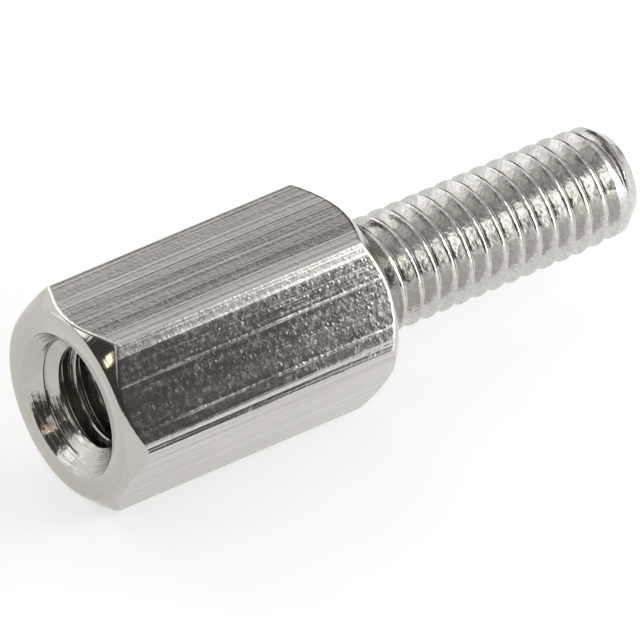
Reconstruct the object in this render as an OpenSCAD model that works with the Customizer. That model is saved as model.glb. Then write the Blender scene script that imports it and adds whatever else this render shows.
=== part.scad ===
// Male-female hexagonal standoff: one turned bar, tapped in one end, with a threaded stud on the other.
// It lies along X on one of its flats, stud towards +X.
// The origin is on the axis, at the shoulder that seats on a board.
// Both threads are drawn plain: the stud at its crests, the hole at the crests of the thread inside it.
// Units are millimetres.

/* [Hexagonal body] */
// Width across the flats, which is the spanner size
across_flats = 5; // [5:0.1:8]
// Length from the end face to the shoulder, which is the space it keeps between two boards
body_length = 8; // [5:0.5:40]
// Radius along each of the six long corners of the drawn bar
corner_radius = 0.2; // [0.05:0.05:0.4]
// How far each chamfer cuts in from the middle of a flat, measured on the end face
chamfer_cut = 0.1; // [0.05:0.05:0.2]
// Angle of both end chamfers, from the end face
chamfer_angle = 45; // [30:1:60]

/* [Thread] */
// Nominal diameter, shared by the stud and the hole so that standoffs stack
thread_d = 3; // [2:0.5:3.5]
// Pitch of the thread, which sets the drill for the tapped hole
thread_pitch = 0.5; // [0.35:0.05:0.6]
// How far the crests of the stud are turned under the nominal diameter
stud_allowance = 0.1; // [0:0.02:0.2]

/* [Tapped hole] */
// Depth of the straight drilled wall from the end face, cut short where the body is too short for it
hole_depth = 6; // [3:0.5:12]
// Solid metal kept between the drill point and the shoulder
hole_floor = 1; // [0.5:0.1:1.5]
// How much wider than the nominal thread the mouth of the countersink is
countersink_margin = 0.7; // [0.2:0.1:0.9]
// Included angle of the countersink
countersink_angle = 90; // [60:1:120]
// Included angle of the drill point that closes the hole
drill_point_angle = 118; // [100:1:140]

/* [Threaded stud] */
// Length from the shoulder to the tip
stud_length = 8; // [3:0.5:20]
// How much narrower than the nominal thread the flat end of the tip is
tip_reduction = 0.75; // [0.3:0.05:1]
// Angle of the tip chamfer, from the flat end
tip_angle = 45; // [30:1:60]

/* [Hidden] */
// Steps in a full turn of each round face
$fn = 96;
// Reach of a cutter beyond the face it enters, and of the stud into the body
overlap = 0.5;
// Distance from the axis to each flat, and to the sharp corner before it is rounded
flat_radius = across_flats / 2;
corner_reach = flat_radius / cos(30);
// Slight angle at which each corner arc crosses its flats, so that the two meet in a clean line
corner_break = 5;
// Radius of the round land that the chamfers leave on each end face
land_radius = flat_radius - chamfer_cut;
chamfer_slope = tan(chamfer_angle);
// Stud and hole, both from the one thread size
stud_radius = (thread_d - stud_allowance) / 2;
tip_radius = (thread_d - tip_reduction) / 2;
tip_length = (stud_radius - tip_radius) * tan(tip_angle);
hole_radius = (thread_d - thread_pitch) / 2;
countersink_radius = (thread_d + countersink_margin) / 2;
countersink_slope = tan(countersink_angle / 2);
countersink_depth = (countersink_radius - hole_radius) / countersink_slope;
drill_point_depth = hole_radius / tan(drill_point_angle / 2);
wall_depth = min(hole_depth, body_length - hole_floor - drill_point_depth);

// What the drawing die rounds off one corner of the bar: all beyond an arc, with the corner along +X
module corner_relief() {
    arc_reach = corner_radius * cos(corner_break);
    arc_centre = (flat_radius - arc_reach) / cos(30);
    difference() {
        translate([arc_centre + arc_reach * cos(30), -corner_radius])
            square([corner_radius, 2 * corner_radius]);
        translate([arc_centre, 0])
            circle(r = corner_radius);
    }
}

// Section of the drawn bar: a hexagon with small round corners and a flat at each end of X
module bar_section() {
    difference() {
        rotate(30)
            circle(r = corner_reach, $fn = 6);
        for (corner = [0 : 5])
            rotate(60 * corner + 30)
                corner_relief();
    }
}

// Envelope of the turning cuts: a cone at each end takes the corners off, down to the round land
module chamfer_envelope() {
    reach = corner_reach + overlap;
    rise = (reach - land_radius) * chamfer_slope;
    mouth = land_radius - overlap / chamfer_slope;
    rotate_extrude()
        polygon([
            [0, -body_length - overlap],
            [mouth, -body_length - overlap],
            [reach, -body_length + rise],
            [reach, -rise],
            [mouth, overlap],
            [0, overlap]
        ]);
}

// The chamfered length of bar, from the end face up to the shoulder
module hexagonal_body() {
    intersection() {
        translate([0, 0, -body_length])
            linear_extrude(height = body_length)
                bar_section();
        chamfer_envelope();
    }
}

// What the drill and the countersink take out: a cone at the mouth, a straight wall and a drill point
module hole_cut() {
    translate([0, 0, -body_length])
        rotate_extrude()
            polygon([
                [0, -overlap],
                [countersink_radius + overlap * countersink_slope, -overlap],
                [hole_radius, countersink_depth],
                [hole_radius, wall_depth],
                [0, wall_depth + drill_point_depth]
            ]);
}

// The turned stud with its chamfered tip, which is one with the body
module stud() {
    rotate_extrude()
        polygon([
            [0, -overlap],
            [stud_radius, -overlap],
            [stud_radius, stud_length - tip_length],
            [tip_radius, stud_length],
            [0, stud_length]
        ]);
}

// The whole piece, turned along Z and laid along X on one of its flats
module standoff() {
    color("#CBC7BC")
        rotate([0, 90, 0])
            difference() {
                union() {
                    hexagonal_body();
                    stud();
                }
                hole_cut();
            }
}

standoff();
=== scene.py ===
import math

import bmesh
import bpy
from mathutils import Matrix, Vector, noise


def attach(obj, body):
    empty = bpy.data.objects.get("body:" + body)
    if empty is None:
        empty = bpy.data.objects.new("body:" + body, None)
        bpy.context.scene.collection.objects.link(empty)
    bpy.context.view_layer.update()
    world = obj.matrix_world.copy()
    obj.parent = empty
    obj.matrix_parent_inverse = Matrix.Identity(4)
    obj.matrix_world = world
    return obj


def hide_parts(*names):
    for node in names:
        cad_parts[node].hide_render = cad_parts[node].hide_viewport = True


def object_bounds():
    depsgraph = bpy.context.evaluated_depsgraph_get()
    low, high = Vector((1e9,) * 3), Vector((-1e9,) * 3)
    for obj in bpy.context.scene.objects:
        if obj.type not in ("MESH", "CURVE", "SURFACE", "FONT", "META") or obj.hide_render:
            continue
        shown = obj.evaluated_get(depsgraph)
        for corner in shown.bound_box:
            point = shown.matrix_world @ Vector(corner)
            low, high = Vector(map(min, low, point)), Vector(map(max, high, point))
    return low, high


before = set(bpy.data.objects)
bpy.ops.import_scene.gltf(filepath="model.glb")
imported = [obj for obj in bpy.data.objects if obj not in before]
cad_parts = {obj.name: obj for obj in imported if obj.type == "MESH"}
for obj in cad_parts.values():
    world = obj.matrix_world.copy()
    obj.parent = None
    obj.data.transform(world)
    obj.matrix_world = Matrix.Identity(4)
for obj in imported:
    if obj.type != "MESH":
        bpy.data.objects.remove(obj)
cad_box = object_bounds()

# The hexagonal body: a length of brass bar, drawn through a die that rounds its corners, then faced and
# chamfered at both ends on the lathe and nickel-plated. It is one with the stud and the hole, so all
# three share one mesh, and each section adds its own surface and finish to it. Sizes are in millimetres.
MM = 0.001
STEPS = 144  # round a full turn, 24 to each side of the hexagon
SIXTH = math.radians(60)
flat_radius = 2.5
flat_half = flat_radius * math.tan(SIXTH / 2)
# each long corner's radius, with the width and the lean in degrees of the band that the die leaves beside it
corners = (
    (0.16, 0.18, 6),  # back
    (0.16, 0.25, 6),  # upper back
    (0.26, 0.44, 6),  # upper front
    (0.16, 0.38, 9.5),  # front
    (0.16, 0.18, 6),  # lower front
    (0.16, 0.18, 6),  # lower back
)
hollows = (0, 0.045, 0, 0, 0, 0)  # how far the middle of each flat is drawn in: only the top one is
body_length, land_radius = 8.0, 2.4
stud_radius, mouth_radius = 1.45, 1.85
edge_round = 0.045  # the plated edges are this soft


def half_side(corner_radius, band_width, band_lean):
    """Half of one side of the bar's section, from the middle of a corner to the middle of a flat."""
    tilt, lean = SIXTH / 2, math.radians(band_lean)
    middle = Vector((math.cos(tilt), math.sin(tilt))) * flat_radius
    fold = middle + Vector((math.sin(tilt), -math.cos(tilt))) * (flat_half - band_width)
    leant = Vector((math.cos(tilt - lean), math.sin(tilt - lean)))
    centre = Vector(((fold.dot(leant) - corner_radius) / leant.x, 0))
    turns = [(tilt - lean) * i / 4 for i in range(5)]
    arc = [centre + Vector((math.cos(turn), math.sin(turn))) * corner_radius for turn in turns]
    # points close to both ends of the band keep its folds crisp
    band = [arc[-1].lerp(fold, share) for share in (0.06, 0.5, 0.96)]
    flat = [fold.lerp(middle, share) for share in (0.015, 0.25, 0.5, 0.75, 1)]
    return arc + band + flat


halves = [half_side(*corner) for corner in corners]


def bar_point(j):
    """Where step j round the bar lies on its section, as (angle, radius) about the axis."""
    side, place = divmod(j, STEPS // 6)
    if place <= STEPS // 12:
        point = halves[side][place]
        past = math.atan2(point.y, point.x)
    else:
        point = halves[(side + 1) % 6][STEPS // 6 - place]
        past = SIXTH - math.atan2(point.y, point.x)
    drawn_in = hollows[side] * 4 * past * (SIXTH - past) / SIXTH**2
    return side * SIXTH + past, point.length - drawn_in


def soft_edge(before, corner, after):
    """Four points that round the corner between two straight runs, in a plane through the axis."""
    a, b, c = Vector(before), Vector(corner), Vector(after)
    return [tuple((1 - t) ** 2 * a + 2 * t * (1 - t) * b + t**2 * c) for t in (0, 1 / 3, 2 / 3, 1)]


def end_profile(radius):
    """From the land out over the chamfer to a bar surface at this radius, as (depth, radius)."""
    e, d = edge_round, edge_round / math.sqrt(2)
    rise = radius - land_radius
    land = soft_edge((0, land_radius - e), (0, land_radius), (d, land_radius + d))
    shoulder = soft_edge((rise - d, radius - d), (rise, radius), (rise + e, radius))
    return [(0, land_radius - 2 * e), *land, *shoulder, (rise + 2 * e, radius)]


# a plain tube of rings is spun first, from the mouth of the hole to the foot of the stud, and then each
# of its points is moved to its place on the bar
TURNED, DRAWN, THREAD, HOLE = range(4)  # the finishes, in the order in which they are added below
end_rings = len(end_profile(flat_radius))
rings = 2 * end_rings + 2
standoff = bmesh.new()
line = [standoff.verts.new((k, 1, 0)) for k in range(rings)]
edges = [standoff.edges.new(pair) for pair in zip(line, line[1:])]
bmesh.ops.spin(standoff, geom=line + edges, axis=(1, 0, 0), angle=math.tau, steps=STEPS, use_merge=True)
for face in standoff.faces:
    inner = round(min(v.co.x for v in face.verts))
    face.material_index = DRAWN if end_rings - 2 <= inner <= rings - end_rings else TURNED
for v in standoff.verts:
    k = round(v.co.x)
    j = round(math.atan2(v.co.z, v.co.y) / math.tau * STEPS) % STEPS
    turn, radius = bar_point(j)
    profile = end_profile(radius)
    if k == 0:
        x, r, turn = -body_length, mouth_radius, math.tau * j / STEPS
    elif k == rings - 1:
        x, r, turn = 0, stud_radius, math.tau * j / STEPS
    elif k <= end_rings:
        depth, r = profile[k - 1]
        x = depth - body_length
    else:
        depth, r = profile[rings - 2 - k]
        x = -depth
    v.co = Vector((x, r * math.cos(turn), r * math.sin(turn))) * MM
mesh = bpy.data.meshes.new("standoff_plated")


def linear(hex_colour):
    """An sRGB hex colour as the linear values that a shader takes."""
    parts = [int(hex_colour[i : i + 2], 16) / 255 for i in (1, 3, 5)]
    return (*(c / 12.92 if c <= 0.04045 else ((c + 0.055) / 1.055) ** 2.4 for c in parts), 1)


def add(tree, kind, settings=None, **inputs):
    """Adds a node, sets its properties, and sets or links its inputs by name or number."""
    node = tree.nodes.new(kind)
    for key, value in (settings or {}).items():
        setattr(node, key, value)
    for key, value in inputs.items():
        socket = node.inputs[int(key[1:])] if key[0] == "_" else node.inputs[key.replace("_", " ")]
        if isinstance(value, bpy.types.NodeSocket):
            tree.links.new(value, socket)
        else:
            socket.default_value = value
    return node


def nickel(name):
    """A nickel-plated finish: its node tree, its shader and the surface's place in millimetres."""
    material = bpy.data.materials.new(name)
    material.use_nodes = True
    mesh.materials.append(material)
    tree = material.node_tree
    shader = tree.nodes["Principled BSDF"]
    shader.inputs["Metallic"].default_value = 1
    spot = add(tree, "ShaderNodeTexCoord").outputs["Object"]
    place = add(tree, "ShaderNodeVectorMath", {"operation": "SCALE"}, _0=spot, Scale=1 / MM).outputs[0]
    return tree, shader, place


def plate(tree, shader, dull, tone, reliefs):
    """Gives a finish its roughness, its colour and its bumps, each bump as (height, depth in millimetres)."""
    tree.links.new(dull.outputs[0], shader.inputs["Roughness"])
    tree.links.new(tone.outputs[0], shader.inputs["Base Color"])
    below = {}
    for height, deep in reliefs:
        bump = add(tree, "ShaderNodeBump", Height=height, Distance=deep * MM, **below)
        below = {"Normal": bump.outputs[0]}
    tree.links.new(bump.outputs[0], shader.inputs["Normal"])


# Nickel plate on turned brass: rings about the axis that draw each glint out round the end, broken by the
# tool's chatter. A lathe's real rings are too fine to show, so they are drawn coarser.
ring_gap = 1 / 12
chatter_share = 1 / 22  # of the radius, which is 0.1 mm at the rim
tree, shader, place = nickel("nickel_on_turned_ends")
across = add(tree, "ShaderNodeVectorMath", {"operation": "MULTIPLY"}, _0=place, _1=(0, 1, 1)).outputs[0]
radius = add(tree, "ShaderNodeVectorMath", {"operation": "LENGTH"}, _0=across).outputs["Value"]
cuts = add(
    tree, "ShaderNodeTexNoise", {"noise_dimensions": "1D"}, W=radius, Scale=1 / ring_gap, Detail=3
).outputs["Fac"]
about = add(tree, "ShaderNodeVectorMath", {"operation": "NORMALIZE"}, _0=across).outputs[0]
chatter = add(tree, "ShaderNodeTexNoise", Vector=about, Scale=1 / chatter_share, Detail=1).outputs["Fac"]
dull = add(tree, "ShaderNodeMapRange", Value=cuts, To_Min=0.06, To_Max=0.16)
tone = add(tree, "ShaderNodeMixRGB", Fac=cuts, Color1=linear("#C5C2BC"), Color2=linear("#BDBAB1"))
plate(tree, shader, dull, tone, ((cuts, 0.002), (chatter, 0.003)))

# Nickel plate on drawn brass: soft streaks along the bar, a few deeper lines, and a fine frosted mottle
# over shallow pits that the plate didn't fill. The die's real lines are finer than these and wouldn't show.
line_run, line_gap = 8.33, 1 / 9
band_run, band_gap = 16.7, 0.5
fade_run = 2.5
pit_gap, mottle_gap = 1 / 9, 1 / 7
tree, shader, place = nickel("nickel_on_drawn_bar")
fine = add(
    tree, "ShaderNodeVectorMath", {"operation": "MULTIPLY"}, _0=place,
    _1=(1 / line_run, 1 / line_gap, 1 / line_gap),
).outputs[0]
lines = add(tree, "ShaderNodeTexNoise", Vector=fine, Scale=1, Detail=3, Roughness=0.6).outputs["Fac"]
broad = add(
    tree, "ShaderNodeVectorMath", {"operation": "MULTIPLY"}, _0=place,
    _1=(1 / band_run, 1 / band_gap, 1 / band_gap),
).outputs[0]
bands = add(tree, "ShaderNodeTexNoise", Vector=broad, Scale=1, Detail=2).outputs["Fac"]
wander = add(
    tree, "ShaderNodeVectorMath", {"operation": "MULTIPLY"}, _0=place, _1=(1 / fade_run, 0, 0)
).outputs[0]
fade = add(tree, "ShaderNodeTexNoise", Vector=wander, Scale=1, Detail=1).outputs["Fac"]

# the deeper lines on the two upper flats, each as (mm from the flat's upper or back edge, height in
# twentieths of the full bump)
full_height, half_width = 20, 0.045
level = 0.5
off_flat, on_flat = 2.36, 2.42  # distances from the axis between which a flat's own lines come in
marks = 0
for flat_angle, drawn_lines in (
    (90, ((0.18, -9), (0.69, 4), (1.00, -8), (1.60, 7), (2.09, -4), (2.49, -5))),
    (150, ((0.38, 4), (0.29, -3), (0.19, 4), (0.62, -4), (0.75, 3), (0.88, -3),
           (1.05, 5.5), (2.24, 7.5), (2.66, -3), (2.78, 3))),
):
    turn = math.radians(flat_angle)
    outward, sideways = (0, math.cos(turn), math.sin(turn)), (0, -math.sin(turn), math.cos(turn))
    height = add(tree, "ShaderNodeVectorMath", {"operation": "DOT_PRODUCT"}, _0=place, _1=outward)
    here = add(
        tree, "ShaderNodeMapRange", Value=height.outputs["Value"], From_Min=off_flat, From_Max=on_flat
    ).outputs[0]
    side = add(tree, "ShaderNodeVectorMath", {"operation": "DOT_PRODUCT"}, _0=place, _1=sideways)
    share = add(
        tree, "ShaderNodeMapRange", Value=side.outputs["Value"], From_Min=-flat_half, From_Max=flat_half
    ).outputs[0]
    ramp = add(tree, "ShaderNodeValToRGB", Fac=share)
    stops = ramp.color_ramp.elements
    stops[0].color = stops[1].color = (level, level, level, 1)
    for at, high in drawn_lines:
        for step in (-half_width, 0, half_width):
            grey = level if step else level + high / full_height
            stops.new((at + step) / (2 * flat_half)).color = (grey, grey, grey, 1)
    marks = add(
        tree, "ShaderNodeMath", {"operation": "MULTIPLY_ADD"}, _0=ramp.outputs[0], _1=here, _2=marks
    ).outputs[0]
marks = add(tree, "ShaderNodeMath", {"operation": "MULTIPLY"}, _0=marks, _1=fade).outputs[0]
# the second of these flats is rubbed dull along the band at its upper edge
rub_ends, rub_full = 0.145, 0.125  # shares of the flat's width
rub_dull = 0.1
beside = add(tree, "ShaderNodeMapRange", Value=share, From_Min=rub_ends, From_Max=rub_full).outputs[0]
rubbed = add(tree, "ShaderNodeMath", {"operation": "MULTIPLY"}, _0=beside, _1=here).outputs[0]

cells = add(tree, "ShaderNodeTexVoronoi", Vector=place, Scale=1 / pit_gap)
dent = add(
    tree, "ShaderNodeMapRange", {"interpolation_type": "SMOOTHSTEP"}, Value=cells.outputs["Distance"],
    From_Min=0.05, From_Max=0.5, To_Min=1, To_Max=0,
).outputs[0]
pits = add(tree, "ShaderNodeMath", {"operation": "MULTIPLY"}, _0=dent, _1=cells.outputs["Color"]).outputs[0]
mottle = add(tree, "ShaderNodeTexNoise", Vector=place, Scale=1 / mottle_gap, Detail=2).outputs["Fac"]
frost = add(tree, "ShaderNodeMapRange", Value=mottle, From_Min=0.45, From_Max=0.75, To_Max=0.08).outputs[0]
dull = add(
    tree, "ShaderNodeMapRange", Value=lines, From_Min=0.3, From_Max=0.7, To_Min=0.12, To_Max=0.2
).outputs[0]
dull = add(tree, "ShaderNodeMath", {"operation": "MULTIPLY_ADD"}, _0=rubbed, _1=rub_dull, _2=dull).outputs[0]
dull = add(tree, "ShaderNodeMath", {"operation": "ADD"}, _0=frost, _1=dull)
streak = add(tree, "ShaderNodeMapRange", Value=lines, From_Min=0.3, From_Max=0.7).outputs[0]
tone = add(tree, "ShaderNodeMixRGB", Fac=streak, Color1=linear("#D2D0CD"), Color2=linear("#BFBCB6"))
plate(
    tree, shader, dull, tone,
    ((bands, 0.022), (lines, 0.0085), (marks, 0.03), (pits, 0.0022), (mottle, 0.0043)),
)

# The threaded stud: turned down from the bar, chamfered at the tip, and then cut with a die, so its crests
# keep the turned diameter and its grooves run out before the shoulder and at the tip.
pitch, stud_length = 0.5, 8.0
tip_radius, tip_slope, tip_land = 1.125, 0.72, 0.02
run_out = 0.85  # length over which the grooves come in from the shoulder
tip_fade = (7.2, 7.7)  # where they go out again
tip_taper, taper_from, taper_to = 0.05, 6.4, 7.6  # the last crests stand this much lower
tear_depth, tear_start = 0.02, 0.4  # how deep the crests are torn, and how far from the shoulder that is full
tears_along, tears_round = 2, 3  # how close together the tears lie
stud_phase = -0.24  # in turns, which sets where the crests cross the side in view


def smooth_ramp(value, start, end):
    """0 before start, 1 after end, with a smooth change between."""
    t = min(max((value - start) / (end - start), 0), 1)
    return t * t * (3 - 2 * t)


# one pitch of the cut thread from crest to crest, as (along, depth below the crest)
half_pitch = [
    (0, 0), (0.034, 0.001), (0.046, 0.006), (0.054, 0.0145), (0.06, 0.0245),
    (0.2, 0.267), (0.217, 0.293), (0.234, 0.307), (0.25, 0.31),
]
one_pitch = half_pitch + [(pitch - along, deep) for along, deep in reversed(half_pitch[:-1])]
groove = half_pitch[-1][1]
weld = 0.0004 * MM
lead_in, spare_turns = 1.5, 3  # turns that reach past the two planes, so that the wall is whole at both


def threaded_wall(first, last, phase, form):
    """Adds a helical wall between two planes across the axis; form gives its radius at (x, turn, depth)."""
    start = first - (lead_in - phase) * pitch
    turns = math.ceil((last - first) / pitch) + spare_turns
    wall = bmesh.new()
    line = [wall.verts.new((start + along, 1 - deep, 0)) for along, deep in one_pitch]
    edges = [wall.edges.new(pair) for pair in zip(line, line[1:])]
    rise = (pitch / STEPS, 0, 0)
    bmesh.ops.spin(wall, geom=line + edges, axis=(1, 0, 0), dvec=rise, angle=math.tau, steps=STEPS)
    one_turn = wall.verts[:] + wall.edges[:] + wall.faces[:]
    for n in range(1, turns):
        copy = bmesh.ops.duplicate(wall, geom=one_turn)["geom"]
        moved = [v for v in copy if isinstance(v, bmesh.types.BMVert)]
        bmesh.ops.translate(wall, verts=moved, vec=(n * pitch, 0, 0))
    for v in wall.verts:
        deep = 1 - v.co.yz.length
        turn = math.tau / STEPS * round(math.atan2(v.co.z, v.co.y) / math.tau * STEPS)
        x = min(max(v.co.x, first), last)
        r = form(x, turn, deep)
        v.co = Vector((x, r * math.cos(turn), r * math.sin(turn))) * MM
    bmesh.ops.remove_doubles(wall, verts=wall.verts, dist=weld)
    spare = bpy.data.meshes.new("wall")
    wall.to_mesh(spare)
    wall.free()
    standoff.from_mesh(spare)
    bpy.data.meshes.remove(spare)


def stud_form(x, turn, deep):
    """The stud's radius: crests torn a little by the die, grooves that fade out, and the tip's chamfer."""
    torn = noise.noise(Vector((tears_along * x, tears_round * math.cos(turn), tears_round * math.sin(turn))))
    lift = groove * max(1 - smooth_ramp(x, 0, run_out), smooth_ramp(x, *tip_fade))
    taper = tip_taper * smooth_ramp(x, taper_from, taper_to)
    crest = stud_radius - taper - tear_depth * max(torn, 0) * smooth_ramp(x, 0, tear_start)
    tip = tip_radius + (stud_length - x) * tip_slope if x < stud_length - tip_land else tip_radius
    return min(crest - max(deep - lift, 0), tip)


threaded_wall(0, stud_length, stud_phase, stud_form)

# Nickel plate on die-cut brass: the die tears the metal a little, so the glints along each turn are broken
# up and the plate is mottled. The grit is drawn coarser than it is, so that it shows.
tear_gap, grit_gap = 0.25, 0.1
tree, shader, place = nickel("nickel_on_cut_thread")
tears = add(tree, "ShaderNodeTexNoise", Vector=place, Scale=1 / tear_gap, Detail=3).outputs["Fac"]
grit = add(tree, "ShaderNodeTexNoise", Vector=place, Scale=1 / grit_gap, Detail=2).outputs["Fac"]
dull = add(tree, "ShaderNodeMapRange", Value=tears, To_Min=0.1, To_Max=0.28)
blotch = add(tree, "ShaderNodeMapRange", Value=grit, From_Min=0.35, From_Max=0.65).outputs[0]
tone = add(tree, "ShaderNodeMixRGB", Fac=blotch, Color1=linear("#D0CFCC"), Color2=linear("#C0BEB9"))
plate(tree, shader, dull, tone, ((tears, 0.017), (grit, 0.008)))

# The tapped hole: drilled to the tapping size, countersunk at the mouth and cut with a tap, whose grooves
# fade out before the bottom. The drill's point closes it.
hole_radius, wall_end = 1.25, 6.0
drill_angle = math.radians(118)
drill_point = hole_radius / math.tan(drill_angle / 2)
tap_fade = (4.4, 5.4)  # depths between which the grooves go out
hole_phase = -0.16  # in turns
near = 0.001  # closer than this counts as touching
crease = math.radians(50)  # edges that turn more than this stay crisp


def hole_form(x, turn, deep):
    """The hole's radius: the drilled wall with its grooves, or the countersink where that is wider."""
    depth = x + body_length
    lift = groove * smooth_ramp(depth, *tap_fade)
    return max(hole_radius + max(deep - lift, 0), mouth_radius - depth)


threaded_wall(-body_length, wall_end - body_length, hole_phase, hole_form)
bmesh.ops.remove_doubles(standoff, verts=standoff.verts, dist=weld)
loops = [e for e in standoff.edges if e.is_boundary]
caps = []
for x in (stud_length, wall_end - body_length):
    rim = [e for e in loops if all(abs(v.co.x - x * MM) < near * MM for v in e.verts)]
    caps.append(bmesh.ops.contextual_create(standoff, geom=rim)["faces"])
for v in bmesh.ops.poke(standoff, faces=caps[1])["verts"]:
    v.co.x += drill_point * MM
for face in standoff.faces:
    middle = face.calc_center_median() / MM
    if middle.x > near:
        face.material_index = THREAD
    elif middle.x < -near and middle.yz.length < mouth_radius - near:
        face.material_index = HOLE
    face.smooth = True
bmesh.ops.recalc_face_normals(standoff, faces=standoff.faces)
for edge in standoff.edges:
    edge.smooth = edge.calc_face_angle(0) < crease

# Nickel plate on tapped brass: ragged rings from the countersink and the tap, under a thinner plate that
# looks darker and warmer. The rings are drawn coarser than they are, so that they show.
ring_gap, tear_gap = 1 / 14, 0.2
tree, shader, place = nickel("nickel_in_tapped_hole")
across = add(tree, "ShaderNodeVectorMath", {"operation": "MULTIPLY"}, _0=place, _1=(0, 1, 1)).outputs[0]
radius = add(tree, "ShaderNodeVectorMath", {"operation": "LENGTH"}, _0=across).outputs["Value"]
cuts = add(
    tree, "ShaderNodeTexNoise", {"noise_dimensions": "1D"}, W=radius, Scale=1 / ring_gap, Detail=3
).outputs["Fac"]
tears = add(tree, "ShaderNodeTexNoise", Vector=place, Scale=1 / tear_gap, Detail=3).outputs["Fac"]
dull = add(tree, "ShaderNodeMapRange", Value=tears, To_Min=0.08, To_Max=0.2)
tone = add(tree, "ShaderNodeMixRGB", Fac=tears, Color1=linear("#C6C3BD"), Color2=linear("#B6B1A8"))
plate(tree, shader, dull, tone, ((cuts, 0.012), (tears, 0.009)))

# the finished mesh stands for the plain solid, with normals that keep the flats looking flat
standoff.to_mesh(mesh)
standoff.free()
piece = bpy.data.objects.new("standoff_plated", mesh)
bpy.context.scene.collection.objects.link(piece)
weighted = piece.modifiers.new("weighted_normals", "WEIGHTED_NORMAL")
weighted.keep_sharp = True
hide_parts("standoff")
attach(piece, "root")

# The table it lies on: a plain sheet of pale matt paper that shows the soft shadow. Seen directly or
# mirrored in the metal it also glows, which makes the background white.
floor_half = 1.5  # metres
floor_glow = 0.6
floor_mesh = bpy.data.meshes.new("floor")
sheet = bmesh.new()
bmesh.ops.create_grid(sheet, x_segments=1, y_segments=1, size=floor_half)
bmesh.ops.translate(sheet, verts=sheet.verts, vec=(0, 0, cad_box[0].z))
sheet.to_mesh(floor_mesh)
sheet.free()
floor = bpy.data.objects.new("floor", floor_mesh)
bpy.context.scene.collection.objects.link(floor)
paper = bpy.data.materials.new("pale_paper")
paper.use_nodes = True
floor_mesh.materials.append(paper)
tree = paper.node_tree
tree.nodes.clear()
path = add(tree, "ShaderNodeLightPath").outputs
seen = path["Is Camera Ray"]
for ray in ("Is Glossy Ray", "Is Transmission Ray"):
    seen = add(tree, "ShaderNodeMath", {"operation": "MAXIMUM"}, _0=seen, _1=path[ray]).outputs[0]
white = add(tree, "ShaderNodeEmission", Color=linear("#FFFFFF"), Strength=floor_glow).outputs[0]
matt = add(tree, "ShaderNodeBsdfDiffuse", Color=linear("#C2C2C2")).outputs[0]
both = add(tree, "ShaderNodeAddShader", _0=white, _1=matt).outputs[0]
mixed = add(tree, "ShaderNodeMixShader", _0=seen, _1=matt, _2=both).outputs[0]
add(tree, "ShaderNodeOutputMaterial", Surface=mixed)

# Soft studio light: a dim room with pale walls and ceiling panels, a soft box to the right and a small
# white card beside the stud. Directions are the camera's own: to its right, ahead and up.
azimuth, elevation = math.radians(-35.81), math.radians(36.03)  # the photo's viewing angle
ahead = Vector((-math.sin(azimuth), math.cos(azimuth), 0))
right = Vector((math.cos(azimuth), math.sin(azimuth), 0))
sky = Vector((0, 0, 1))
world = bpy.data.worlds.new("studio")
bpy.context.scene.world = world
world.use_nodes = True
tree = world.node_tree
tree.nodes.clear()
facing = add(tree, "ShaderNodeTexCoord").outputs["Generated"]
light = linear("#484542")[:3]
# each pale patch of the room: colour, strength, direction, and the angles where it is full and where it ends
for colour, strength, aim, inner, outer in (
    ("#FFFFFF", 1.0, (-0.70, 0.70, 0.05), 32, 48),  # wall, ahead on the left
    ("#FFFFFF", 1.7, (-0.838, 0.01, 0.545), 8, 12),  # lamp, high on the left
    ("#FFFFFF", 0.72, (-0.05, 0.50, 0.866), 16, 33),  # ceiling ahead
    ("#FFFFFF", 1.15, (-0.45, 0.70, 0.56), 14, 24),  # top of the wall, ahead on the left
    ("#FFFFFF", 0.25, (0.0, -0.05, 1.0), 35, 50),  # ceiling overhead
    ("#FFFFFF", 0.6, (-0.98, 0.05, 0.10), 14, 24),  # wall on the left
    ("#FFFFFF", 0.4, (0.70, 0.57, 0.43), 22, 36),  # wall, ahead on the right
    ("#FFFFFF", 0.6, (-0.12, -0.64, 0.76), 15, 28),  # ceiling behind the camera
    ("#FFFFFF", 0.55, (0.49, 0.13, 0.862), 5, 11),  # ceiling lamp on the right
    ("#FFF1DA", 3.2, (-0.622, -0.607, 0.491), 2.5, 4),  # warm lamp behind the camera
):
    way = (right * aim[0] + ahead * aim[1] + sky * aim[2]).normalized()
    toward = add(tree, "ShaderNodeVectorMath", {"operation": "DOT_PRODUCT"}, _0=facing, _1=way)
    patch = add(
        tree, "ShaderNodeMapRange", {"interpolation_type": "SMOOTHSTEP"}, Value=toward.outputs["Value"],
        From_Min=math.cos(math.radians(outer)), From_Max=math.cos(math.radians(inner)), To_Max=strength,
    ).outputs[0]
    light = add(
        tree, "ShaderNodeVectorMath", {"operation": "MULTIPLY_ADD"}, _0=patch, _1=linear(colour)[:3], _2=light
    ).outputs[0]
room = add(tree, "ShaderNodeBackground", Color=light, Strength=1).outputs[0]
add(tree, "ShaderNodeOutputWorld", Surface=room)

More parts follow.
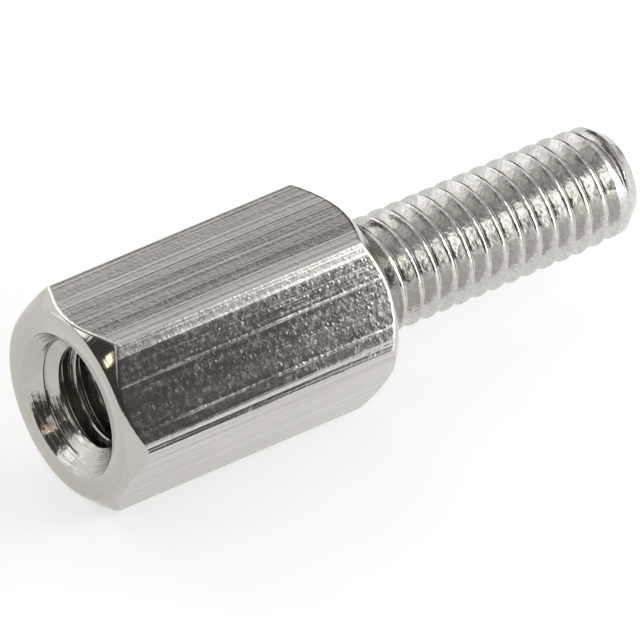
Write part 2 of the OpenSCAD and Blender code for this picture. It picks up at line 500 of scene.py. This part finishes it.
# each lamp: how bright its face is, its direction, width and height, the point that it faces, how far it
# stands from that point, and how far it is then moved to its side and up. A face glows at its power over
# four times its area.
for name, glow, aim, width, height, faces, distance, shift, lift in (
    ("soft_box", 2.7, (0.83, -0.20, 0.50), 30.7, 38.5, (4, 0, 0), 42, 5.75, -4.55),
    ("white_card", 0.9, (0.90, -0.42, 0.10), 13, 5, (6.5, 0, -0.6), 20, 0, 0),
):
    way = (right * aim[0] + ahead * aim[1] + sky * aim[2]).normalized()
    beside = sky.cross(way).normalized()
    lamp = bpy.data.lights.new(name, "AREA")
    lamp.shape = "RECTANGLE"
    lamp.size, lamp.size_y = width * MM, height * MM
    lamp.energy = glow * 4 * lamp.size * lamp.size_y
    stand = bpy.data.objects.new(name, lamp)
    stand.location = (Vector(faces) + way * distance + beside * shift + way.cross(beside) * lift) * MM
    stand.rotation_mode = "QUATERNION"
    stand.rotation_quaternion = (-way).to_track_quat("-Z", "Y")
    stand.visible_camera = False
    bpy.context.scene.collection.objects.link(stand)

# The camera: far off with a long lens, so that the view has almost no perspective, looking down on the
# standoff from its hole end. Pixels are the photo's, counted from its upper left corner.
photo_size = 640
photo_middle = photo_size / 2
shoulder_across, shoulder_down = 340.2, 289.9  # the pixel where the middle of the shoulder, the origin, lies
px_per_mm = 41.785
lens, sensor = 1200.0, 36.0
nearest, farthest = 0.01, 10.0  # metres
back = Vector((
    math.sin(azimuth) * math.cos(elevation),
    -math.cos(azimuth) * math.cos(elevation),
    math.sin(elevation),
))
up = back.cross(right)
target = (right * (photo_middle - shoulder_across) - up * (photo_middle - shoulder_down)) / px_per_mm * MM
distance = photo_size / px_per_mm / sensor * lens * MM
camera = bpy.data.objects.new("camera", bpy.data.cameras.new("camera"))
bpy.context.scene.collection.objects.link(camera)
camera.data.lens = lens
camera.data.sensor_width = sensor
camera.data.clip_start, camera.data.clip_end = nearest, farthest
camera.rotation_mode = "QUATERNION"
camera.rotation_quaternion = (-back).to_track_quat("-Z", "Y")
camera.location = target + back * distance
bpy.context.scene.camera = camera
bpy.context.scene.view_settings.view_transform = "Standard"

bpy.context.view_layer.update()
